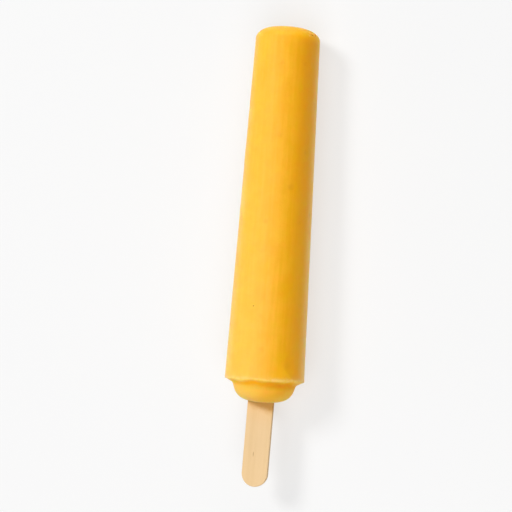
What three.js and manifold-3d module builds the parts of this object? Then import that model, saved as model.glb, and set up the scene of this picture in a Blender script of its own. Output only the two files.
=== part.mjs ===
// A moulded mango ice lolly on a flat wooden stick, lying on its side. Lengths are in millimetres.
//
// The lolly is built in its own frame: +Y runs along its axis towards the tip, y = 0 is the plane of
// the rim, which is the lower edge of the tapered body, and +Z comes out of the stick's flat front.
// It is then laid down, so that in the part's frame +Z is up, z = 0 is the table, +Y still points at
// the tip, and the stick's front faces up.
import * as THREE from "three";
import { mergeVertices } from "three/addons/utils/BufferGeometryUtils.js";
import Module from "manifold-3d";

// The body tapers evenly from the rim to a flat-topped dome at the tip.
const BODY_LENGTH = 134.1;
const RIM_RADIUS = 15.1;
const TIP_RADIUS = 12.2;
const DOME_HEIGHT = 5;
const DOME_POWER = 2.6; // 2 is an ellipse, and more is flatter on top and tighter at the edge
const RIM_ROUNDING = 0.45;

// Under the rim a sloping shoulder runs in to the plug, the cup-shaped end around the stick.
const SHOULDER_DROP = 1.4;
const PLUG_RADIUS = 12;
const PLUG_DEPTH = 6.8;
const PLUG_DRAFT = 0.27; // millimetres of radius lost for each millimetre down the plug
const PLUG_POWER = 3.4;

// The stick is a flat strip with round ends, frozen in a little off centre and a little askew.
const STICK_LENGTH = 93;
const STICK_WIDTH = 10;
const STICK_THICKNESS = 2;
const STICK_EDGE = 0.3;
const STICK_REACH = 40.5; // from the rim's plane to the stick's free end
const STICK_OFFSET = -0.55; // sideways, measured at the rim's plane
const STICK_SKEW = THREE.MathUtils.degToRad(1); // the free end leans further to the same side
const SOCKET_GAP = 0.3;

// Lying down, the lolly rests on a narrow flat along its underside.
const REST_FLAT_DEPTH = 0.3;

const ROUND_STEPS = 72;
const TAPER_STEPS = 8;
const DOME_STEPS = 12;
const RIM_STEPS = 4;
const PLUG_STEPS = 12;
const END_STEPS = 18;
const EDGE_STEPS = 2;
const SAME_POINT = 1e-4;

const taper = Math.atan((RIM_RADIUS - TIP_RADIUS) / (BODY_LENGTH - DOME_HEIGHT));

const wasm = await Module();
wasm.setup();

function solidFrom(geometry) {
  const bare = new THREE.BufferGeometry();
  bare.setAttribute("position", geometry.getAttribute("position"));
  bare.setIndex(geometry.index);
  const merged = mergeVertices(bare, SAME_POINT);
  return new wasm.Manifold(
    new wasm.Mesh({
      numProp: 3,
      vertProperties: merged.getAttribute("position").array,
      triVerts: merged.index.array,
    }),
  );
}

function geometryFrom(solid) {
  const { vertProperties, triVerts } = solid.getMesh();
  const geometry = new THREE.BufferGeometry();
  geometry.setAttribute("position", new THREE.BufferAttribute(vertProperties, 3));
  geometry.setIndex(new THREE.BufferAttribute(triVerts, 1));
  return geometry;
}

// A quarter of a superellipse at t from 0 to 1: [share of the radius, share of the height above its foot].
function superQuarter(t, power, topPower) {
  const angle = (t * Math.PI) / 2;
  return [Math.cos(angle) ** (2 / power), Math.sin(angle) ** (2 / topPower)];
}

// The plug's outline, from its lowest point on the axis up to the foot of the shoulder.
function plugOutline() {
  const foot = -SHOULDER_DROP;
  const points = [];
  for (let i = PLUG_STEPS; i >= 0; i -= 1) {
    const [across, down] = superQuarter(i / PLUG_STEPS, PLUG_POWER, PLUG_POWER);
    const depth = PLUG_DEPTH * down;
    points.push(new THREE.Vector2((PLUG_RADIUS - PLUG_DRAFT * depth) * across, foot - depth));
  }
  points[0].x = 0;
  return points;
}

// The rim's small rounding, from where the shoulder meets it to the side of the body.
function rimOutline() {
  const centre = new THREE.Vector2(RIM_RADIUS - RIM_ROUNDING, RIM_ROUNDING);
  const points = [];
  for (let i = 0; i <= RIM_STEPS; i += 1) {
    const angle = -Math.PI / 2 + (Math.PI / 2) * (i / RIM_STEPS);
    const out = new THREE.Vector2(Math.cos(angle), Math.sin(angle));
    points.push(out.multiplyScalar(RIM_ROUNDING).add(centre));
  }
  return points;
}

// The body's side and the dome, from above the rim to the tip's highest point on the axis.
function bodyOutline() {
  const shoulder = BODY_LENGTH - DOME_HEIGHT;
  const points = [];
  for (let i = 1; i < TAPER_STEPS; i += 1) {
    const y = (shoulder * i) / TAPER_STEPS;
    points.push(new THREE.Vector2(RIM_RADIUS - y * Math.tan(taper), y));
  }
  for (let i = 0; i <= DOME_STEPS; i += 1) {
    const [across, up] = superQuarter(i / DOME_STEPS, DOME_POWER, 2);
    points.push(new THREE.Vector2(TIP_RADIUS * across, shoulder + DOME_HEIGHT * up));
  }
  points.at(-1).x = 0;
  return points;
}

// A flat strip with round ends and eased edges, larger than the stick by grow on every side.
function stickGeometry(grow) {
  const radius = STICK_WIDTH / 2 + grow;
  const straight = (STICK_LENGTH - STICK_WIDTH) / 2;
  const outline = new THREE.Shape();
  outline.absarc(0, straight, radius, 0, Math.PI);
  outline.absarc(0, -straight, radius, Math.PI, 2 * Math.PI);
  const thickness = STICK_THICKNESS + 2 * grow;
  const geometry = new THREE.ExtrudeGeometry(outline, {
    depth: thickness - 2 * STICK_EDGE,
    curveSegments: END_STEPS,
    bevelThickness: STICK_EDGE,
    bevelSize: STICK_EDGE,
    bevelOffset: -STICK_EDGE,
    bevelSegments: EDGE_STEPS,
  });
  return geometry.translate(0, 0, STICK_EDGE - thickness / 2);
}

// Puts an object that is built around the stick's middle where the stick is in the lolly.
function placeAsStick(object) {
  const middle = STICK_LENGTH / 2 - STICK_REACH;
  object.rotation.z = -STICK_SKEW;
  object.position.set(STICK_OFFSET + middle * Math.tan(STICK_SKEW), middle, 0);
  object.updateMatrix();
  return object;
}

// The table's space below z = 0 of the part's frame, as a box in the lolly's own frame.
function tableGeometry(laid) {
  const side = 4 * BODY_LENGTH;
  const table = new THREE.BoxGeometry(side, side, side).translate(0, 0, -side / 2);
  return table.applyMatrix4(laid.matrix.clone().invert());
}

function makeIce(laid) {
  const outline = [...plugOutline(), ...rimOutline(), ...bodyOutline()];
  const socket = stickGeometry(SOCKET_GAP).applyMatrix4(placeAsStick(new THREE.Object3D()).matrix);
  const solid = solidFrom(new THREE.LatheGeometry(outline, ROUND_STEPS))
    .subtract(solidFrom(socket))
    .subtract(solidFrom(tableGeometry(laid)));
  const material = new THREE.MeshStandardMaterial({ color: 0xf8b932, roughness: 0.45, metalness: 0 });
  const ice = new THREE.Mesh(geometryFrom(solid), material);
  ice.name = "ice";
  return ice;
}

function makeStick() {
  const material = new THREE.MeshStandardMaterial({ color: 0xf1ce9d, roughness: 0.7, metalness: 0 });
  const stick = placeAsStick(new THREE.Mesh(stickGeometry(0), material));
  stick.name = "stick";
  return stick;
}

// Laid down, the axis dips towards the tip by the taper's angle, so that the underside is level.
const lolly = new THREE.Group();
lolly.rotation.x = -taper;
lolly.position.z = RIM_RADIUS * Math.cos(taper) - REST_FLAT_DEPTH;
lolly.updateMatrix();
lolly.add(makeIce(lolly), makeStick());

// The origin is on the table, under the middle of the lolly's length.
const extent = new THREE.Box3().setFromObject(lolly, true);
lolly.position.y = -(extent.min.y + extent.max.y) / 2;

const part = new THREE.Group();
part.add(lolly);

export default part;
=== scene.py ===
"""A mango ice lolly on a flat wooden stick, lying on a pale table and seen from above.

Lengths are in metres, unless a comment says otherwise.
"""
import math
import random

import bpy
import numpy as np
from mathutils import Matrix, Vector, noise


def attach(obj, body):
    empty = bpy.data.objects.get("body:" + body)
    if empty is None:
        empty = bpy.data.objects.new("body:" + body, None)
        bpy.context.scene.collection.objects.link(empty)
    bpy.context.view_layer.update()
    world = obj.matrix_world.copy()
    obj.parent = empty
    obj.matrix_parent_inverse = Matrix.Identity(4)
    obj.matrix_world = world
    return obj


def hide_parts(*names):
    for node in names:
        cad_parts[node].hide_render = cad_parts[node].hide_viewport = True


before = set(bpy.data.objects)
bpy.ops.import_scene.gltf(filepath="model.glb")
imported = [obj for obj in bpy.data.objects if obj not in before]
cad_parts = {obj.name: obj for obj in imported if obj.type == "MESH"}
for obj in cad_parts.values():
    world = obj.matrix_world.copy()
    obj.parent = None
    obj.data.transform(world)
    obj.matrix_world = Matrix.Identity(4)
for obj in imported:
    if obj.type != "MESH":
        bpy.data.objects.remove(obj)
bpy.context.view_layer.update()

MM = 0.001

# The lolly's own frame is the CAD's: +Y along its axis to the tip, y = 0 at the rim's plane, and
# +Z out of the stick's flat front.
BODY_LENGTH = 134.1 * MM
RIM_RADIUS = 15.1 * MM
TIP_RADIUS = 12.2 * MM
DOME_HEIGHT = 5 * MM
DOME_POWER = 2.6  # 2 is an ellipse, and more is flatter on top and tighter at the edge
RIM_ROUNDING = 0.45 * MM
SHOULDER_DROP = 1.4 * MM
PLUG_RADIUS = 12 * MM
PLUG_DEPTH = 6.8 * MM
PLUG_DRAFT = 0.27  # how much of each length down the plug its radius loses
PLUG_POWER = 3.4
REST_FLAT_DEPTH = 0.3 * MM
TAPER = math.atan((RIM_RADIUS - TIP_RADIUS) / (BODY_LENGTH - DOME_HEIGHT))

STICK_LENGTH = 93 * MM
STICK_WIDTH = 10 * MM
STICK_THICKNESS = 2 * MM
STICK_REACH = 40.5 * MM  # from the rim's plane to the stick's free end
STICK_OFFSET = -0.55 * MM  # sideways, at the rim's plane
STICK_SKEW = math.radians(1)

# The camera is turned about the lolly's axis from straight in front of the stick, and looks at a
# point this far up the axis from the rim's plane and this far to the left of the axis.
CAMERA_TURN = math.radians(14.5)
CAMERA_ROLL = math.radians(3.96)
CAMERA_DISTANCE = 0.6576
CENTRE_UP = 46.79 * MM
CENTRE_LEFT = 6.41 * MM
LENS = 122  # in mm, as is the sensor
SENSOR_WIDTH = 36


def lolly_to_part():
    """The matrix from the lolly's own frame to the part's. The CAD body is widest just above the rim."""
    widest = max((v.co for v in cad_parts["ice"].data.vertices), key=lambda co: co.x)
    rim = widest.y - RIM_ROUNDING * math.cos(TAPER)
    height = RIM_RADIUS * math.cos(TAPER) - REST_FLAT_DEPTH
    return Matrix.Translation((0, rim, height)) @ Matrix.Rotation(-TAPER, 4, "X")


def stick_to_lolly():
    """The matrix from a frame in the stick's middle to the lolly's own."""
    middle = STICK_LENGTH / 2 - STICK_REACH
    place = Matrix.Translation((STICK_OFFSET + middle * math.tan(STICK_SKEW), middle, 0))
    return place @ Matrix.Rotation(-STICK_SKEW, 4, "Z")


LAID = lolly_to_part()
STICK_PLACE = stick_to_lolly()


# ---------------------------------------------------------------- helpers

def new_piece(name, points, faces, material, node):
    """A smooth mesh object in the part's frame, standing for a CAD node."""
    mesh = bpy.data.meshes.new(name)
    mesh.from_pydata(points, [], faces)
    mesh.validate()
    mesh.polygons.foreach_set("use_smooth", [True] * len(mesh.polygons))
    mesh.materials.append(material)
    piece = bpy.data.objects.new(name, mesh)
    bpy.context.scene.collection.objects.link(piece)
    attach(piece, "root")
    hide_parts(node)
    return piece


def store(piece, name, values):
    """Keeps one number or one vector for each point, which the material reads."""
    values = np.asarray(values, dtype=np.float32)
    kind = "FLOAT" if values.ndim == 1 else "FLOAT_VECTOR"
    field = "value" if values.ndim == 1 else "vector"
    attribute = piece.data.attributes.new(name, kind, "POINT")
    attribute.data.foreach_set(field, values.ravel())


def ring_faces(first, second, count):
    """Quads between two rings of count points, which start at these indices."""
    faces = []
    for i in range(count):
        after = (i + 1) % count
        faces.append((second + i, second + after, first + after, first + i))
    return faces


def fan_faces(centre, ring, count):
    """Triangles between a point and a ring of count points around it."""
    return [(centre, ring + i, ring + (i + 1) % count) for i in range(count)]


def flipped(faces):
    """The same faces, turned to look the other way."""
    return [face[::-1] for face in faces]


def waves(point, size, shift=0):
    """Smooth noise from -1 to 1 with bumps about as wide as size, in another pattern for each shift."""
    return noise.noise((point + Vector((shift, 0, 0))) / size)


def hump(distance, width):
    """A smooth bump: 1 at no distance, and next to nothing at twice the width."""
    return math.exp(-((distance / width) ** 2))


def smooth(value, low, high):
    """0 up to low, 1 from high on, and a smooth rise between them."""
    share = min(max((value - low) / (high - low), 0), 1)
    return share * share * (3 - 2 * share)


# ---------------------------------------------------------------- ice: sizes

ICE_SIDES = 216
SOCKET_ROWS = 26
MOUTH_ROWS = 9
PLUG_ROWS = 40
SHOULDER_ROWS = 9
RIM_ROWS = 7
LIP_ROWS = 16  # closer rows just above the rim
BODY_ROWS = 238
DOME_ROWS = 34

# The socket's wall lies just inside the stick's surface, so no gap shows around the stick.
SOCKET_BITE = 0.05 * MM
SOCKET_POWER = 8  # how square the socket's corners are
SOCKET_CROWDING = 1.8  # above 1 its rings are closer together towards the inner end
SOCKET_END_HALF = 0.6 * MM
MOUTH_RADIUS = 7.2 * MM
MOUTH_SEARCH_STEPS = 400
SHOULDER_START = 0.6  # in rows, from the plug to the shoulder's first ring
LIP_HEIGHT = 2.4 * MM

# Angles around the lolly's axis run from +X towards +Z, so the stick's flat front is at 90 degrees.
# FRONT is the side that faces the camera, and LEFT is the left flank as the camera sees it.
FRONT = math.pi / 2 - CAMERA_TURN
LEFT = FRONT + math.pi / 2
DOME_FULLNESS = 0.4  # how much DOME_POWER grows towards the left

# The rim's edge: higher at the front, ragged, with steps, and with a small bead above it. Its
# unevenness fades out up the body and, sooner, down the shoulder.
RIM_LIFT = 0.5 * MM
RIM_RAGGEDNESS = 0.16 * MM
RIM_NOISE_RADIUS = 15  # in mm
RIM_PATTERN = Vector((0, 3, 0))
RIM_FADE_UP = 2.2 * MM
RIM_FADE_DOWN = 1.3 * MM
LIP_BEAD = 0.14 * MM
LIP_BEAD_UP = 0.6 * MM
LIP_BEAD_WIDTH = 0.4 * MM

# Where the rim's edge is higher or lower: angle and width in degrees, height in mm.
RIM_STEPS = ((95, 10, 0.36), (36, 8, 0.5), (112, 12, -0.36))

# Low waves all over the skin: height and width in mm.
SKIN_WAVES = ((0.045, 26), (0.02, 7), (0.01, 2.2))

# Hollows in the skin, and low swellings with a negative depth: height, angle in degrees, radius and
# depth, with lengths in mm. These are the ones that the photo shows.
HOLLOWS = (
    (119.4, 82, 1.3, 0.16), (119.6, 40, 1.2, 0.12), (103.8, 32, 1.4, -0.12), (92.2, 78, 1.1, 0.14),
    (86.7, 29, 1.2, 0.14), (73.2, 54, 1.3, 0.24), (62.4, 39, 1.8, -0.12), (60.4, 35, 1.0, 0.14),
    (59.8, 91, 1.0, 0.18), (36.6, 113, 1.2, -0.12), (29.4, 23, 1.5, 0.12), (24.7, 88, 1.1, 0.14),
    (12.4, 82, 1.3, 0.15), (6.8, 43, 2.0, 0.16), (3.4, 24, 3.0, -0.16),
)
HOLLOW_REACH = 2.5  # in radii

# The others are at random around the back and sides, within these limits in the same units. About
# one in three is a swelling.
OTHER_HOLLOWS = 46
OTHER_HEIGHTS = (3, 128)
OTHER_ANGLES = (150, 370)
OTHER_RADII = (0.9, 1.9)
OTHER_DEPTHS = (0.06, 0.16)
OTHER_SIGNS = (1, 1, -0.7)

# Grains of ice and pits: x, y, z and radius in mm. The last of each make up a fleck low on the
# body, and the others are at the dome's broken right corner.
ICE_GRAINS = (
    (9.6, 131.4, 5.8, 0.6), (9.8, 130.4, 6.7, 0.5), (10.3, 131.4, 4.1, 0.5), (-2.6, 28.3, 14.1, 0.7),
)
PITS = (
    (9.6, 132.1, 3.2, 0.5), (10.2, 130.9, 5.4, 0.3), (10.6, 130.7, 4.9, 0.5), (11.1, 131.0, 2.3, 0.75),
    (8.7, 132.5, 4.1, 0.7), (-2.6, 28.3, 14.1, 0.45),
)
GRAIN_HEIGHT = 0.35  # as shares of the radius, like the two below
PIT_DEPTH = 0.6
CHIP_WIDTH = 0.7


# ---------------------------------------------------------------- ice: outline

def super_quarter(t, power, top_power):
    """A quarter of a superellipse at t from 0 to 1: shares of its radius and of its height."""
    angle = t * math.pi / 2
    return math.cos(angle) ** (2 / power), math.sin(angle) ** (2 / top_power)


def plug_point(t):
    """A point of the plug's outline, from its top at t = 0 to its lowest point, on the axis, at t = 1."""
    across, down = super_quarter(t, PLUG_POWER, PLUG_POWER)
    depth = PLUG_DEPTH * down
    return (PLUG_RADIUS - PLUG_DRAFT * depth) * across, -SHOULDER_DROP - depth


def plug_bottom(radius):
    """The plug's underside as a height over the distance from the axis."""
    share = min(radius / (PLUG_RADIUS - PLUG_DRAFT * PLUG_DEPTH), 1)
    return -SHOULDER_DROP - PLUG_DEPTH * (1 - share ** PLUG_POWER) ** (1 / PLUG_POWER)


def plug_outline():
    """Radius and height of each ring from the plug's mouth to its top."""
    steps = (i / MOUTH_SEARCH_STEPS for i in range(MOUTH_SEARCH_STEPS, 0, -1))
    mouth = next(t for t in steps if plug_point(t)[0] > MOUTH_RADIUS)
    return [plug_point(mouth * (1 - i / PLUG_ROWS)) for i in range(PLUG_ROWS)]


def rim_outline():
    """Radius and height of each ring over the sloping shoulder and around the rim's small rounding."""
    inner = Vector((PLUG_RADIUS, -SHOULDER_DROP))
    outer = Vector((RIM_RADIUS - RIM_ROUNDING, 0))
    shares = [(i + SHOULDER_START) / SHOULDER_ROWS for i in range(SHOULDER_ROWS)]
    points = [tuple(inner.lerp(outer, share)) for share in shares]
    for i in range(RIM_ROWS):
        angle = math.pi / 2 * (i + 0.5) / RIM_ROWS
        radius = RIM_RADIUS - RIM_ROUNDING * (1 - math.sin(angle))
        points.append((radius, RIM_ROUNDING * (1 - math.cos(angle))))
    return points


def body_outline():
    """Radius and height of each ring up the tapered body."""
    lip = RIM_ROUNDING + LIP_HEIGHT
    foot = BODY_LENGTH - DOME_HEIGHT
    heights = [RIM_ROUNDING + LIP_HEIGHT * i / LIP_ROWS for i in range(LIP_ROWS)]
    heights += [lip + (foot - lip) * i / BODY_ROWS for i in range(BODY_ROWS)]
    return [(RIM_RADIUS - y * math.tan(TAPER), y) for y in heights]


def dome_outline(power):
    """Radius and height of each ring of the dome, short of the tip itself."""
    points = []
    for i in range(DOME_ROWS):
        across, up = super_quarter(i / DOME_ROWS, power, 2)
        points.append((TIP_RADIUS * across, BODY_LENGTH - DOME_HEIGHT + DOME_HEIGHT * up))
    return points


# ---------------------------------------------------------------- ice: relief

def outward(angle):
    """The direction away from the axis, at an angle around it."""
    return Vector((math.cos(angle), 0, math.sin(angle)))


def facing_right(angle):
    """From -1 where the skin faces left, as the camera sees it, to 1 where it faces right."""
    return -math.cos(angle - LEFT)


def rim_edge(angle):
    """Where noise along the rim is read: on a ring about as large as the rim."""
    return outward(angle) * RIM_NOISE_RADIUS * MM


def rim_rise(angle):
    """How far the rim's edge lies above its plane: it is ragged, and highest at the front."""
    rise = RIM_LIFT * max(math.cos(angle - FRONT), 0)
    rise += RIM_RAGGEDNESS * waves(rim_edge(angle) + RIM_PATTERN, 5 * MM)
    for middle, width, height in RIM_STEPS:
        turn = (math.degrees(angle) - middle + 180) % 360 - 180
        rise += height * MM * hump(turn, width)
    return rise


def all_hollows():
    """The hollows that are listed and those at random, in metres and radians."""
    chance = random.Random(7)
    hollows = list(HOLLOWS)
    for _ in range(OTHER_HOLLOWS):
        hollows.append((
            chance.uniform(*OTHER_HEIGHTS),
            chance.uniform(*OTHER_ANGLES),
            chance.uniform(*OTHER_RADII),
            chance.choice(OTHER_SIGNS) * chance.uniform(*OTHER_DEPTHS),
        ))
    return [(y * MM, math.radians(angle), radius * MM, depth * MM) for y, angle, radius, depth in hollows]


def hollow_depth(y, angle, radius, hollows):
    """How far the hollows press the skin in, or the swellings out, at this height and angle."""
    depth = 0
    for height, turn, width, deep in hollows:
        up = y - height
        if abs(up) < HOLLOW_REACH * width:
            around = ((angle - turn + math.pi) % (2 * math.pi) - math.pi) * radius
            depth += deep * hump(math.hypot(up, around), width)
    return depth


def chip_depth(point):
    """How far the skin dips at the pits and, below 0, stands out at the grains of ice."""
    depth = 0
    uneven = 1 + 0.5 * waves(point, 0.5 * MM)
    for spots, share in ((PITS, PIT_DEPTH), (ICE_GRAINS, -GRAIN_HEIGHT)):
        for x, y, z, radius in spots:
            distance = (point - Vector((x, y, z)) * MM).length * uneven
            if distance < 2 * radius * MM:
                depth += share * radius * MM * hump(distance, CHIP_WIDTH * radius * MM)
    return depth


def swelling(point, y, angle, radius, hollows):
    """How far the skin stands out, as moulded and slightly thawed ice does."""
    swell = 0
    for shift, (height, width) in enumerate(SKIN_WAVES):
        swell += height * MM * waves(point, width * MM, shift)
    bead = LIP_BEAD * hump(y - LIP_BEAD_UP, LIP_BEAD_WIDTH) * (0.7 + 0.5 * waves(point, 4 * MM))
    return swell + bead - hollow_depth(y, angle, radius, hollows)


# ---------------------------------------------------------------- ice: rings

def socket_section(half_width, half_height, angle):
    """A point on a rounded rectangle, at an angle around it."""
    c, s = math.cos(angle), math.sin(angle)
    return (
        half_width * math.copysign(abs(c) ** (2 / SOCKET_POWER), c),
        half_height * math.copysign(abs(s) ** (2 / SOCKET_POWER), s),
    )


def socket_rings():
    """Rings of the socket's wall, from its closed inner end to its mouth."""
    rings = []
    half_height = STICK_THICKNESS / 2 - SOCKET_BITE
    radius = STICK_WIDTH / 2 - SOCKET_BITE
    mouth = plug_bottom(0)
    end = STICK_LENGTH - STICK_REACH - SOCKET_BITE
    for i in range(SOCKET_ROWS):
        t = i / (SOCKET_ROWS - 1)
        y = end - (end - mouth) * (t ** SOCKET_CROWDING)
        into_end = max(y - (end - radius), 0) / radius
        half_width = max(radius * math.sqrt(max(1 - into_end ** 2, 0)), SOCKET_END_HALF)
        centre = STICK_OFFSET + y * math.tan(STICK_SKEW)
        ring = []
        for k in range(ICE_SIDES):
            x, z = socket_section(half_width, half_height, 2 * math.pi * k / ICE_SIDES)
            ring.append(Vector((centre + x, y, z)))
        rings.append(ring)
    return rings


def mouth_rings(inner):
    """Rings of the plug's underside, which turn from the socket's outline into a circle."""
    rings = []
    for i in range(1, MOUTH_ROWS):
        ring = []
        for k, start in enumerate(inner):
            angle = 2 * math.pi * k / ICE_SIDES
            end = Vector((MOUTH_RADIUS * math.cos(angle), 0, MOUTH_RADIUS * math.sin(angle)))
            point = Vector((start.x, 0, start.z)).lerp(end, i / MOUTH_ROWS)
            point.y = plug_bottom(math.hypot(point.x, point.z))
            ring.append(point)
        rings.append(ring)
    return rings


def skin_column(angle, outline, hollows):
    """The skin's points at one angle around the axis, from the plug's mouth to the dome."""
    out = outward(angle)
    rise = rim_rise(angle)
    column = []
    for j, (radius, y) in enumerate(outline):
        before = outline[max(j - 1, 0)]
        after = outline[min(j + 1, len(outline) - 1)]
        along = Vector((after[0] - before[0], after[1] - before[1])).normalized()
        normal = out * along.y - Vector((0, along.x, 0))
        point = out * radius + Vector((0, y, 0))
        point += normal * (swelling(point, y, angle, radius, hollows) - chip_depth(point))
        point.y += rise * hump(y, RIM_FADE_UP if y > 0 else RIM_FADE_DOWN)
        column.append(point)
    return column


def skin_rings(hollows):
    """Rings of the outer skin, from the plug's mouth to the dome."""
    below_dome = plug_outline() + rim_outline() + body_outline()
    columns = []
    for k in range(ICE_SIDES):
        angle = 2 * math.pi * k / ICE_SIDES
        dome = dome_outline(DOME_POWER + DOME_FULLNESS * max(math.cos(angle - LEFT), 0))
        columns.append(skin_column(angle, below_dome + dome, hollows))
    return list(zip(*columns))


# ---------------------------------------------------------------- ice: what its material reads

FROST_AND_HIGHLIGHT_DOWN = 0.1 * MM
FROST_AND_HIGHLIGHT_UP = 0.8 * MM
FROST_AND_HIGHLIGHT_GAP = (88, 12, 0.4)  # where the rim's frost and painted highlight are thinner: angle and width in degrees, share
COVE_TOP = -0.05 * MM

# A slanting line near the rim, up to which the painted shade on the right reaches: how far right it is at
# its upper end, that end's height in mm, how much further right it is for each mm below that, and how soft
# it is.
LINE_RIGHT = 0.45
LINE_TOP = 5.6
LINE_SLANT = 0.055
LINE_SOFTNESS = 0.035


def height_over_edge(point, angle):
    """A point's height over the rim's uneven edge, and further away over the rim's plane."""
    return point.y - rim_rise(angle) * hump(point.y, 2 * MM)


def share_right(point):
    """How far a point is to the right, from -1 on the body's left flank to 1 on its right flank."""
    across = point.x * math.cos(LEFT) + point.z * math.sin(LEFT)
    return -across / (RIM_RADIUS - point.y * math.tan(TAPER))


def rim_frost_and_highlight(height, angle):
    """How much frost and painted highlight show on the rim's edge and, thinly, just above it.

    It reaches further up on the right, and is thinner at its right end and in one gap.
    """
    if height < -FROST_AND_HIGHLIGHT_DOWN:
        return 0
    right = facing_right(angle)
    above_edge = smooth(height, -FROST_AND_HIGHLIGHT_DOWN, (0.35 - 0.15 * right) * MM)
    thickness = (0.64 + 0.06 * right) * (1 - 0.5 * smooth(right, 0.75, 0.95))
    gap, gap_width, thinner = FROST_AND_HIGHLIGHT_GAP
    thickness *= 1 - thinner * hump(math.degrees(angle) - gap, gap_width)
    middle = FROST_AND_HIGHLIGHT_UP * (1.15 + 0.25 * right + 0.8 * waves(rim_edge(angle), 6 * MM))
    width = (0.6 + 0.25 * smooth(right, -0.1, 0.4)) * MM
    band = hump(height - middle, width) + 0.3 * hump(max(height, 0), 2.4 * MM)
    return above_edge * thickness * band


def cove_shade(height, radius, angle):
    """1 in the corner between the rim and the plug, and 0 further down, which is furthest on the right."""
    if radius < MOUTH_RADIUS or height > COVE_TOP:
        return 0
    right = facing_right(angle)
    return hump(height + (1.08 + 0.25 * right) * MM, (0.82 + 0.14 * right) * MM)


def painted_sheen(point):
    """How much painted sheen pales the skin: most on the left flank, some on the right, more near the rim,
    and along both edges.
    """
    right = share_right(point)
    flanks = smooth(-right, -0.4, 0.45) + 0.8 * smooth(right, 0.75, 1)
    edges = 1.4 * smooth(abs(right), 0.8, 1) * (1 + 0.5 * waves(point, 9 * MM, 4))
    clear = smooth(right, 0, 0.5) * smooth(point.y, 0.9 * BODY_LENGTH, 0.96 * BODY_LENGTH)
    return (flanks * (1.5 - point.y / BODY_LENGTH) + edges) * (1 - 0.9 * clear)


def past_line(point):
    """1 to the right of the slanting line, and 0 to its left."""
    line = LINE_RIGHT + LINE_SLANT * max(LINE_TOP - point.y / MM, 0)
    return smooth(share_right(point), line, line + LINE_SOFTNESS)


def painted_shade(point):
    """How much painted shade darkens the right side: softly, but up to the slanting line near the rim."""
    right = share_right(point)
    near_rim = hump(point.y - 3 * MM, 6 * MM)
    soft = smooth(right, 0.2, 0.7) * (0.6 + 0.6 * point.y / BODY_LENGTH)
    return (soft * (1 - near_rim) + past_line(point) * near_rim) * (1 - smooth(right, 0.85, 1))


def painted_light(point):
    """How much painted light brightens the right side just above the rim, left of the line, and on the
    dome.
    """
    right = share_right(point)
    above_rim = smooth(right, 0.1, 0.45) * hump(point.y - 2 * MM, 6 * MM)
    above_rim *= 1 - 0.75 * past_line(point)
    on_dome = smooth(right, 0.1, 0.4) * smooth(point.y, BODY_LENGTH - 7 * MM, BODY_LENGTH - 4 * MM)
    return above_rim + 0.85 * on_dome


def store_ice_fields(piece, points, hollows):
    """Stores what the ice's material reads, worked out from the points in the lolly's own frame."""
    angles = [math.atan2(point.z, point.x) for point in points]
    radii = [math.hypot(point.x, point.z) for point in points]
    heights = [height_over_edge(*place) for place in zip(points, angles)]
    depths = [
        hollow_depth(point.y, angle, radius, hollows)
        for point, angle, radius in zip(points, angles, radii)
    ]
    store(piece, "lolly_mm", [point / MM for point in points])
    store(piece, "painted_sheen", [painted_sheen(point) for point in points])
    store(piece, "painted_shade", [painted_shade(point) for point in points])
    store(piece, "painted_light", [painted_light(point) for point in points])
    store(piece, "rim_frost_and_highlight", [rim_frost_and_highlight(*place) for place in zip(heights, angles)])
    store(piece, "cove_shade", [cove_shade(*place) for place in zip(heights, radii, angles)])
    store(piece, "hollow_mm", [depth / MM for depth in depths])


# ---------------------------------------------------------------- ice: piece

def closed_faces(ring_count):
    """Faces over a first point, rings of ICE_SIDES points and a last point."""
    starts = [1 + j * ICE_SIDES for j in range(ring_count)]
    faces = fan_faces(0, starts[0], ICE_SIDES)
    for first, second in zip(starts, starts[1:]):
        faces += ring_faces(first, second, ICE_SIDES)
    return faces + flipped(fan_faces(starts[-1] + ICE_SIDES, starts[-1], ICE_SIDES))


def laid_down(point):
    """A point of the lolly as it lies on the table, which flattens its underside."""
    there = LAID @ point
    there.z = max(there.z, 0)
    return there


def make_ice(material):
    """One closed skin, from the socket's inner end to its mouth and on over plug, rim, body and dome."""
    hollows = all_hollows()
    socket = socket_rings()
    rings = socket + mouth_rings(socket[-1]) + skin_rings(hollows)
    inner_end = (socket[0][0] + socket[0][ICE_SIDES // 2]) / 2
    tip = Vector((0, BODY_LENGTH, 0))
    points = [inner_end] + [point for ring in rings for point in ring] + [tip]
    laid = [laid_down(point) for point in points]
    piece = new_piece("mango_ice", laid, closed_faces(len(rings)), material, "ice")
    store_ice_fields(piece, points, hollows)


# ---------------------------------------------------------------- stick

STICK_ROUNDING = 0.28 * MM
STICK_WEAR = 0.02 * MM
QUARTER_STEPS = 20  # around each quarter of the two round ends
SIDE_STEPS = 60
EDGE_ROWS = 5
FACE_ROWS = 11
FACE_SPREAD = 0.97  # how near the rings on a face come to its middle line and to its edge


def stadium(inset):
    """The stick's outline, smaller by inset all round, anticlockwise from the middle of its free end."""
    radius = STICK_WIDTH / 2 - inset
    straight = (STICK_LENGTH - STICK_WIDTH) / 2
    turn = [math.pi * (-0.5 + 0.5 * i / QUARTER_STEPS) for i in range(QUARTER_STEPS)]
    points = [(radius * math.cos(a), -straight + radius * math.sin(a)) for a in turn]
    points += [(radius, -straight + 2 * straight * i / SIDE_STEPS) for i in range(SIDE_STEPS)]
    turn = [a + math.pi / 2 for a in turn]
    points += [(radius * math.cos(a), straight + radius * math.sin(a)) for a in turn]
    return points + [(-x, -y) for x, y in points]


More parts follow.
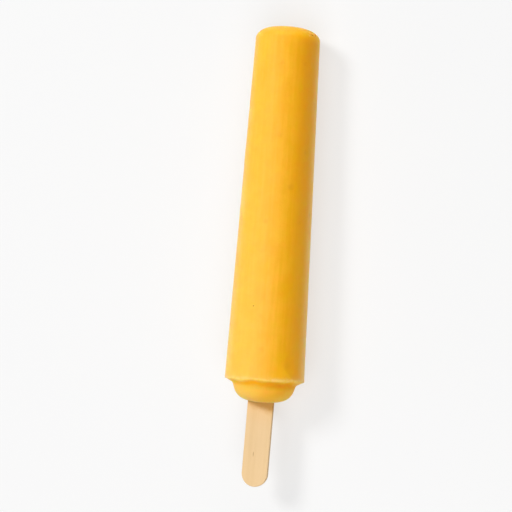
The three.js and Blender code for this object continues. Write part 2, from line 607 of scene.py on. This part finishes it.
def stick_levels():
    """The inset and height of each ring, from the middle of the front face to the middle of the back."""
    half = STICK_THICKNESS / 2
    levels = []
    for i in range(1, FACE_ROWS):
        levels.append((STICK_WIDTH / 2 * (1 - FACE_SPREAD * i / FACE_ROWS) * FACE_SPREAD, half))
    for i in range(EDGE_ROWS + 1):
        angle = math.pi / 2 * i / EDGE_ROWS
        inset = STICK_ROUNDING * (1 - math.sin(angle))
        levels.append((inset, half - STICK_ROUNDING * (1 - math.cos(angle))))
    return levels + [(inset, -z) for inset, z in reversed(levels)]


def cap_faces(ring, count):
    """Faces across a long flat ring of count points: quads across it, and a triangle at each end."""
    half = count // 2
    faces = [(ring + i, ring + i + 1, ring + count - i - 1, ring + count - i) for i in range(1, half - 1)]
    faces.append((ring, ring + 1, ring + count - 1))
    faces.append((ring + half - 1, ring + half, ring + half + 1))
    return faces


def worn(x, y, z):
    """A point of the stick, moved a little in or out, as wood is never quite even."""
    point = Vector((x, y, z))
    point.z += math.copysign(STICK_WEAR, z) * waves(Vector((x, y * 0.3, 5 * z)), 3 * MM)
    point.x += math.copysign(STICK_WEAR, x) * waves(Vector((9 * MM, y, z)), 6 * MM)
    return point


def make_stick(material):
    """Rings from the middle of the front to the middle of the back, with a cap on each."""
    levels = stick_levels()
    places = [(x, y, z) for inset, z in levels for x, y in stadium(inset)]
    count = len(places) // len(levels)
    last = len(places) - count
    faces = cap_faces(0, count) + flipped(cap_faces(last, count))
    for start in range(0, last, count):
        faces += ring_faces(start, start + count, count)
    laid = [LAID @ (STICK_PLACE @ worn(*place)) for place in places]
    piece = new_piece("wooden_stick", laid, faces, material, "stick")
    store(piece, "stick_mm", [Vector(place) / MM for place in places])


# ---------------------------------------------------------------- shader nodes

class Shader:
    """A material's node tree, with short calls for the nodes used here."""

    def __init__(self, name):
        self.material = bpy.data.materials.new(name)
        self.material.use_nodes = True
        self.tree = self.material.node_tree
        self.surface = self.tree.nodes["Principled BSDF"]

    def connect(self, value, socket):
        """Links a socket to another one, or gives it a constant."""
        if isinstance(value, bpy.types.NodeSocket):
            self.tree.links.new(value, socket)
        else:
            socket.default_value = value

    def set(self, name, value):
        self.connect(value, self.surface.inputs[name])

    def field(self, name, output="Fac"):
        """What the mesh stores for each point."""
        made = self.tree.nodes.new("ShaderNodeAttribute")
        made.attribute_name = name
        return made.outputs[output]

    def calculate(self, operation, a, b, clamp=False):
        made = self.tree.nodes.new("ShaderNodeMath")
        made.operation = operation
        made.use_clamp = clamp
        self.connect(a, made.inputs[0])
        self.connect(b, made.inputs[1])
        return made.outputs[0]

    def plus(self, a, b):
        return self.calculate("ADD", a, b)

    def times(self, a, b, clamp=False):
        return self.calculate("MULTIPLY", a, b, clamp)

    def vectors(self, operation, *values):
        made = self.tree.nodes.new("ShaderNodeVectorMath")
        made.operation = operation
        for value, socket in zip(values, made.inputs):
            self.connect(value, socket)
        return made.outputs

    def stretch(self, vector, factors):
        return self.vectors("MULTIPLY", vector, factors)["Vector"]

    def distance(self, vector, point):
        return self.vectors("DISTANCE", vector, point)["Value"]

    def part(self, vector, axis):
        made = self.tree.nodes.new("ShaderNodeSeparateXYZ")
        self.connect(vector, made.inputs[0])
        return made.outputs[axis]

    def ragged(self, vector, scale, reach):
        """The vector moved a little to and fro, which gives spots around a point an uneven outline."""
        wobble = self.tree.nodes.new("ShaderNodeTexNoise")
        self.connect(vector, wobble.inputs["Vector"])
        wobble.inputs["Scale"].default_value = scale
        moved = self.vectors("MULTIPLY_ADD", wobble.outputs["Color"], [2 * reach] * 3, vector)["Vector"]
        return self.vectors("ADD", moved, [-reach] * 3)["Vector"]

    def noise(self, vector, scale, detail=2.0, roughness=0.5):
        made = self.tree.nodes.new("ShaderNodeTexNoise")
        self.connect(vector, made.inputs["Vector"])
        made.inputs["Scale"].default_value = scale
        made.inputs["Detail"].default_value = detail
        made.inputs["Roughness"].default_value = roughness
        return made.outputs["Fac"]

    def cells(self, vector, scale):
        """The distance to the nearest of many scattered points."""
        made = self.tree.nodes.new("ShaderNodeTexVoronoi")
        self.connect(vector, made.inputs["Vector"])
        made.inputs["Scale"].default_value = scale
        return made.outputs["Distance"]

    def ramp(self, value, low, high, from_value=0.0, to_value=1.0):
        """A value between low and high turned smoothly into one between from_value and to_value."""
        made = self.tree.nodes.new("ShaderNodeMapRange")
        made.interpolation_type = "SMOOTHSTEP"
        self.connect(value, made.inputs["Value"])
        made.inputs["From Min"].default_value = low
        made.inputs["From Max"].default_value = high
        made.inputs["To Min"].default_value = from_value
        made.inputs["To Max"].default_value = to_value
        return made.outputs["Result"]

    def mix(self, share, first, second):
        """A colour between two others. The node's sockets for colours come after those for other types."""
        made = self.tree.nodes.new("ShaderNodeMix")
        made.data_type = "RGBA"
        self.connect(share, made.inputs[0])
        self.connect(first, made.inputs[6])
        self.connect(second, made.inputs[7])
        return made.outputs[2]

    def bump(self, height, distance):
        made = self.tree.nodes.new("ShaderNodeBump")
        made.inputs["Strength"].default_value = 1
        made.inputs["Distance"].default_value = distance
        self.connect(height, made.inputs["Height"])
        return made.outputs["Normal"]


# ---------------------------------------------------------------- ice: material

MANGO = (0.84, 0.447, 0.0, 1)
RIPE_MANGO = (0.892, 0.478, 0.013, 1)
# Painted light for the right side above the rim and for the dome.
PAINTED_LIGHT_MANGO = (0.97, 0.53, 0.0, 1)
# Painted shade for the body's right side.
SHADED_RIGHT_MANGO = (0.86, 0.41, 0.0, 1)
# Painted light: the plug is brighter than the body.
LIT_PLUG_MANGO = (1.0, 0.48, 0.02, 1)
# Pale frost, also used for painted sheen and for the rim's painted highlight.
FROST_AND_SHEEN_MANGO = (1.0, 0.62, 0.2, 1)
ICE_YELLOW = (1.0, 0.6, 0.1, 1)
# Painted shade for the hollows and pits.
PAINTED_SHADE_MANGO = (0.5, 0.22, 0.0, 1)
# Painted shade for the corner under the rim, darkest at its right end.
COVE_SHADE_MANGO = (0.97, 0.465, 0.0, 1)
DEEPEST_COVE_SHADE_MANGO = (0.85, 0.33, 0.0, 1)

# Where the plug is brightened with painted light:
PLUG_LIGHT_HEIGHTS = (-3.4, -2.0)  # heights in mm: all of it below the first, none above the second
COVE_SHADE_DEEPENS = (1, 9)  # x in mm
HOLLOW_SHADE_DEPTHS = (0.02, 0.2)  # depth in mm
SPOT_WOBBLE = 0.5  # in mm
ICE_IOR = 1.31
ICE_SCATTER = (1.0, 0.28, 0.07)  # how far red, green and blue light spreads, as shares of the next
ICE_SCATTER_REACH = 9 * MM
ICE_BUMP = 0.05 * MM


def spot_shares(shader, uneven, spots, inner, outer, strength):
    """A value for each spot: strength within inner, and 0 beyond outer, both in the spot's radii."""
    shares = []
    for x, y, z, radius in spots:
        distance = shader.distance(uneven, (x, y, z))
        shares.append(shader.ramp(distance, inner * radius, outer * radius, strength, 0.0))
    return shares


def mango_tones(shader, place):
    """Mottled mango yellow, with painted shade on the right, and painted light above the rim, on the dome
    and on the plug.
    """
    blotches = shader.noise(place, 0.16, 3.0)
    streaks = shader.noise(shader.stretch(place, (1.0, 0.05, 1.0)), 0.9)
    mottle = shader.plus(shader.times(blotches, 0.5), shader.times(streaks, 0.5))
    colour = shader.mix(shader.ramp(mottle, 0.37, 0.63), MANGO, RIPE_MANGO)
    # Painted shade on the right side.
    colour = shader.mix(shader.field("painted_shade"), colour, SHADED_RIGHT_MANGO)
    # Painted light above the rim on the right and on the dome.
    colour = shader.mix(shader.times(shader.field("painted_light"), 0.7), colour, PAINTED_LIGHT_MANGO)
    # Painted light that brightens the plug.
    plug = shader.ramp(shader.part(place, "Y"), *PLUG_LIGHT_HEIGHTS, 1.0, 0.0)
    return shader.mix(plug, colour, LIT_PLUG_MANGO)


def with_frost_and_sheen(shader, place, colour):
    """Scattered frost crystals and painted sheen on the skin, and thicker, broken frost with a painted
    highlight on the rim's edge.
    """
    crystals = shader.ramp(shader.cells(place, 1.6), 0.05, 0.22, 1.0, 0.0)
    patches = shader.ramp(shader.noise(place, 0.3), 0.5, 0.7)
    frost = shader.times(shader.times(crystals, patches), 0.08)
    # The crystals are frost, and this adds painted sheen on the left flank and along the edges.
    frost = shader.plus(frost, shader.times(shader.field("painted_sheen"), 0.2))
    colour = shader.mix(frost, colour, FROST_AND_SHEEN_MANGO)
    # The rim's edge: frost, and a painted highlight where the light catches it.
    broken = shader.ramp(shader.noise(place, 0.8), 0.3, 0.62, 0.45, 1.0)
    rim = shader.times(shader.field("rim_frost_and_highlight"), broken, clamp=True)
    return shader.mix(rim, colour, FROST_AND_SHEEN_MANGO)


def with_chips(shader, uneven, colour):
    """Painted shade in the hollows and pits, and pale grains of ice."""
    # Painted shade in the hollows and, below, in the pits.
    hollow = shader.ramp(shader.field("hollow_mm"), *HOLLOW_SHADE_DEPTHS, 0.0, 0.16)
    colour = shader.mix(hollow, colour, PAINTED_SHADE_MANGO)
    for grain in spot_shares(shader, uneven, ICE_GRAINS, 0.5, 1, 0.9):
        colour = shader.mix(grain, colour, ICE_YELLOW)
    for pit in spot_shares(shader, uneven, PITS, 0.4, 1, 0.85):
        colour = shader.mix(pit, colour, PAINTED_SHADE_MANGO)
    return colour


def with_cove_shade(shader, place, cove, colour):
    """Painted shade in the corner under the rim: a deeper orange, deepest at its right end."""
    rightwards = shader.ramp(shader.part(place, "X"), *COVE_SHADE_DEEPENS)
    return shader.mix(cove, colour, shader.mix(rightwards, COVE_SHADE_MANGO, DEEPEST_COVE_SHADE_MANGO))


def ice_relief(shader, place, uneven):
    """The skin's fine grain and dimples, and the pits, as a height."""
    grain = shader.noise(place, 2.6, 4.0, 0.65)
    dimples = shader.noise(place, 0.55)
    height = shader.plus(shader.times(dimples, 3.0), grain)
    for pit in spot_shares(shader, uneven, PITS, 0.3, 1.1, -3.0):
        height = shader.plus(height, pit)
    return height


def ice_material():
    """Translucent frozen puree with a satin skin."""
    shader = Shader("mango_ice")
    place = shader.field("lolly_mm", "Vector")
    uneven = shader.ragged(place, 1.6, SPOT_WOBBLE)
    cove = shader.field("cove_shade")
    colour = with_frost_and_sheen(shader, place, mango_tones(shader, place))
    colour = with_chips(shader, uneven, colour)
    shader.set("Base Color", with_cove_shade(shader, place, cove, colour))
    glaze = shader.ramp(shader.noise(place, 0.7, 4.0, 0.6), 0.3, 0.7, 0.5, 0.6)
    shader.set("Roughness", shader.plus(glaze, shader.times(cove, 0.3)))
    shader.set("IOR", ICE_IOR)
    shader.set("Sheen Weight", 0.33)
    shader.set("Sheen Roughness", 0.2)
    shader.set("Sheen Tint", (1, 0.95, 0.85, 1))
    shader.set("Subsurface Weight", 1)
    shader.set("Subsurface Radius", ICE_SCATTER)
    shader.set("Subsurface Scale", ICE_SCATTER_REACH)
    shader.set("Normal", shader.bump(ice_relief(shader, place, uneven), ICE_BUMP))
    return shader.material


# ---------------------------------------------------------------- stick: material

PALE_BIRCH = (0.758, 0.529, 0.279, 1)
BIRCH = (0.722, 0.495, 0.248, 1)
GRAIN_BROWN = (0.6, 0.38, 0.17, 1)
MARK_BROWN = (0.5, 0.31, 0.14, 1)
# Mango stain, and the plug's painted shadow where the band is strong.
STAIN_AND_SHADOW_BIRCH = (0.57, 0.3, 0.055, 1)

# The longer dark fleck near the stick's free end: its middle is in the stretched frame.
MARK_STRETCH = (3.0, 0.6, 1.0)
MARK_MIDDLE = (-3.1, -20.5, 1.0)

# Where mango stains the wood and the plug's painted shadow lies on it, in mm along the stick from its
# middle:
# the plug ends at about -14.
STAIN_AND_SHADOW_EDGE = (-17.2, -13.6)
FAINT_STAIN_EDGE = (-25.0, -14.0)
STAIN_AND_SHADOW_SLANT = 0.25
STAIN_AND_SHADOW_WOBBLE = 2.5  # in mm
WOOD_BUMP = 0.03 * MM


def birch_colour(shader, place, fibres):
    """Paler and darker bands and fibres, short dark flecks, and the longer one near the free end."""
    bands = shader.noise(shader.stretch(place, (0.55, 0.025, 0.3)), 1.0, 3.0)
    tone = shader.plus(shader.times(bands, 0.6), shader.times(fibres, 0.4))
    colour = shader.mix(shader.ramp(tone, 0.36, 0.64), BIRCH, PALE_BIRCH)
    flecks = shader.cells(shader.stretch(place, (2.2, 0.3, 2.2)), 1.0)
    colour = shader.mix(shader.ramp(flecks, 0.03, 0.13, 0.3, 0.0), colour, GRAIN_BROWN)
    near_mark = shader.distance(shader.stretch(place, MARK_STRETCH), MARK_MIDDLE)
    return shader.mix(shader.ramp(near_mark, 0.3, 0.75, 1.0, 0.0), colour, MARK_BROWN)


def with_stain_and_shadow(shader, place, colour):
    """Mango stain and the plug's painted shadow at the plug: strong with an uneven edge, and faint stain
    past it.
    """
    along = shader.plus(shader.part(place, "Y"), shader.times(shader.part(place, "X"), STAIN_AND_SHADOW_SLANT))
    faint = shader.ramp(along, *FAINT_STAIN_EDGE, 0.0, 0.2)
    colour = shader.mix(faint, colour, STAIN_AND_SHADOW_BIRCH)
    # The strong band is painted shadow of the plug, orange with light from the plug, and partly stain.
    uneven_edge = shader.times(shader.noise(place, 0.5, 3.0), STAIN_AND_SHADOW_WOBBLE)
    stain_and_shadow = shader.ramp(shader.plus(along, uneven_edge), *STAIN_AND_SHADOW_EDGE, 0.0, 0.95)
    return shader.mix(stain_and_shadow, colour, STAIN_AND_SHADOW_BIRCH)


def wood_material():
    """Birch with fine fibres along the stick, stained by mango and with painted shadow next to the plug.
    """
    shader = Shader("birch_stick")
    place = shader.field("stick_mm", "Vector")
    fibres = shader.noise(shader.stretch(place, (6.0, 0.12, 6.0)), 1.0, 4.0, 0.65)
    shader.set("Base Color", with_stain_and_shadow(shader, place, birch_colour(shader, place, fibres)))
    shader.set("Roughness", shader.ramp(fibres, 0.3, 0.7, 0.62, 0.78))
    shader.set("Normal", shader.bump(fibres, WOOD_BUMP))
    return shader.material


# ---------------------------------------------------------------- stage

FLOOR_SIDE = 8
FLOOR_COLOUR = (0.28, 0.28, 0.28, 1)
FLOOR_GLOW = 0.61
WHITE = (1, 1, 1, 1)
SURROUND_STRENGTH = 0.05
SURROUND_SEEN = 0.9

# Name, turn and rise in degrees, distance, size, and power in watts.
LIGHTS = (
    ("key", -32.5, 24, 1.6, 0.42, 15.8),
    ("left", -80, -8, 1, 0.5, 1.1),
    ("front", 10, -22, 0.75, 0.68, 4.45),
    ("tip", 5, 75, 1, 0.5, 3.3),
)


def make_camera():
    """The photo's view of the lolly, with the camera's place worked out in the lolly's own frame."""
    towards = Vector((math.sin(CAMERA_TURN), 0, math.cos(CAMERA_TURN)))
    along = Vector((0, 1, 0))
    across = along.cross(towards)
    right = across * math.cos(CAMERA_ROLL) + along * math.sin(CAMERA_ROLL)
    up = along * math.cos(CAMERA_ROLL) - across * math.sin(CAMERA_ROLL)
    pose = Matrix((right, up, towards)).transposed().to_4x4()
    pose.translation = along * CENTRE_UP - across * CENTRE_LEFT + towards * CAMERA_DISTANCE
    data = bpy.data.cameras.new("camera")
    data.lens = LENS
    data.sensor_width = SENSOR_WIDTH
    camera = bpy.data.objects.new("camera", data)
    camera.matrix_world = LAID @ pose
    bpy.context.scene.collection.objects.link(camera)
    bpy.context.scene.camera = camera


def make_floor():
    """A plain pale table, which glows a little so that it comes out nearly as white as the page."""
    half = FLOOR_SIDE / 2
    mesh = bpy.data.meshes.new("floor")
    corners = [(-half, -half, 0), (half, -half, 0), (half, half, 0), (-half, half, 0)]
    mesh.from_pydata(corners, [], [(0, 1, 2, 3)])
    shader = Shader("floor")
    shader.set("Base Color", FLOOR_COLOUR)
    shader.set("Roughness", 0.8)
    shader.set("Specular IOR Level", 0.2)
    shader.set("Emission Color", WHITE)
    shader.set("Emission Strength", FLOOR_GLOW)
    mesh.materials.append(shader.material)
    floor = bpy.data.objects.new("floor", mesh)
    bpy.context.scene.collection.objects.link(floor)


def make_surroundings():
    """A dim white room, which looks bright where the camera sees it directly."""
    world = bpy.data.worlds.new("studio")
    world.use_nodes = True
    tree = world.node_tree
    background = tree.nodes["Background"]
    background.inputs["Color"].default_value = WHITE
    seen = tree.nodes.new("ShaderNodeLightPath").outputs["Is Camera Ray"]
    strength = tree.nodes.new("ShaderNodeMapRange")
    tree.links.new(seen, strength.inputs["Value"])
    strength.inputs["To Min"].default_value = SURROUND_STRENGTH
    strength.inputs["To Max"].default_value = SURROUND_SEEN
    tree.links.new(strength.outputs["Result"], background.inputs["Strength"])
    bpy.context.scene.world = world


def soft_light(name, turn, rise, distance, size, power):
    """A square light, turned about the lolly's axis from straight above and raised towards its tip."""
    turn, rise = math.radians(turn), math.radians(rise)
    direction = Vector((math.sin(turn) * math.cos(rise), math.sin(rise), math.cos(turn) * math.cos(rise)))
    data = bpy.data.lights.new(name, "AREA")
    data.shape = "SQUARE"
    data.size = size
    data.energy = power
    light = bpy.data.objects.new(name, data)
    light.location = direction * distance + Vector((0, 0, RIM_RADIUS))
    light.rotation_euler = direction.to_track_quat("Z", "Y").to_euler()
    bpy.context.scene.collection.objects.link(light)


make_ice(ice_material())
make_stick(wood_material())
make_camera()
make_floor()
make_surroundings()
for setting in LIGHTS:
    soft_light(*setting)
bpy.context.scene.view_settings.view_transform = "Standard"
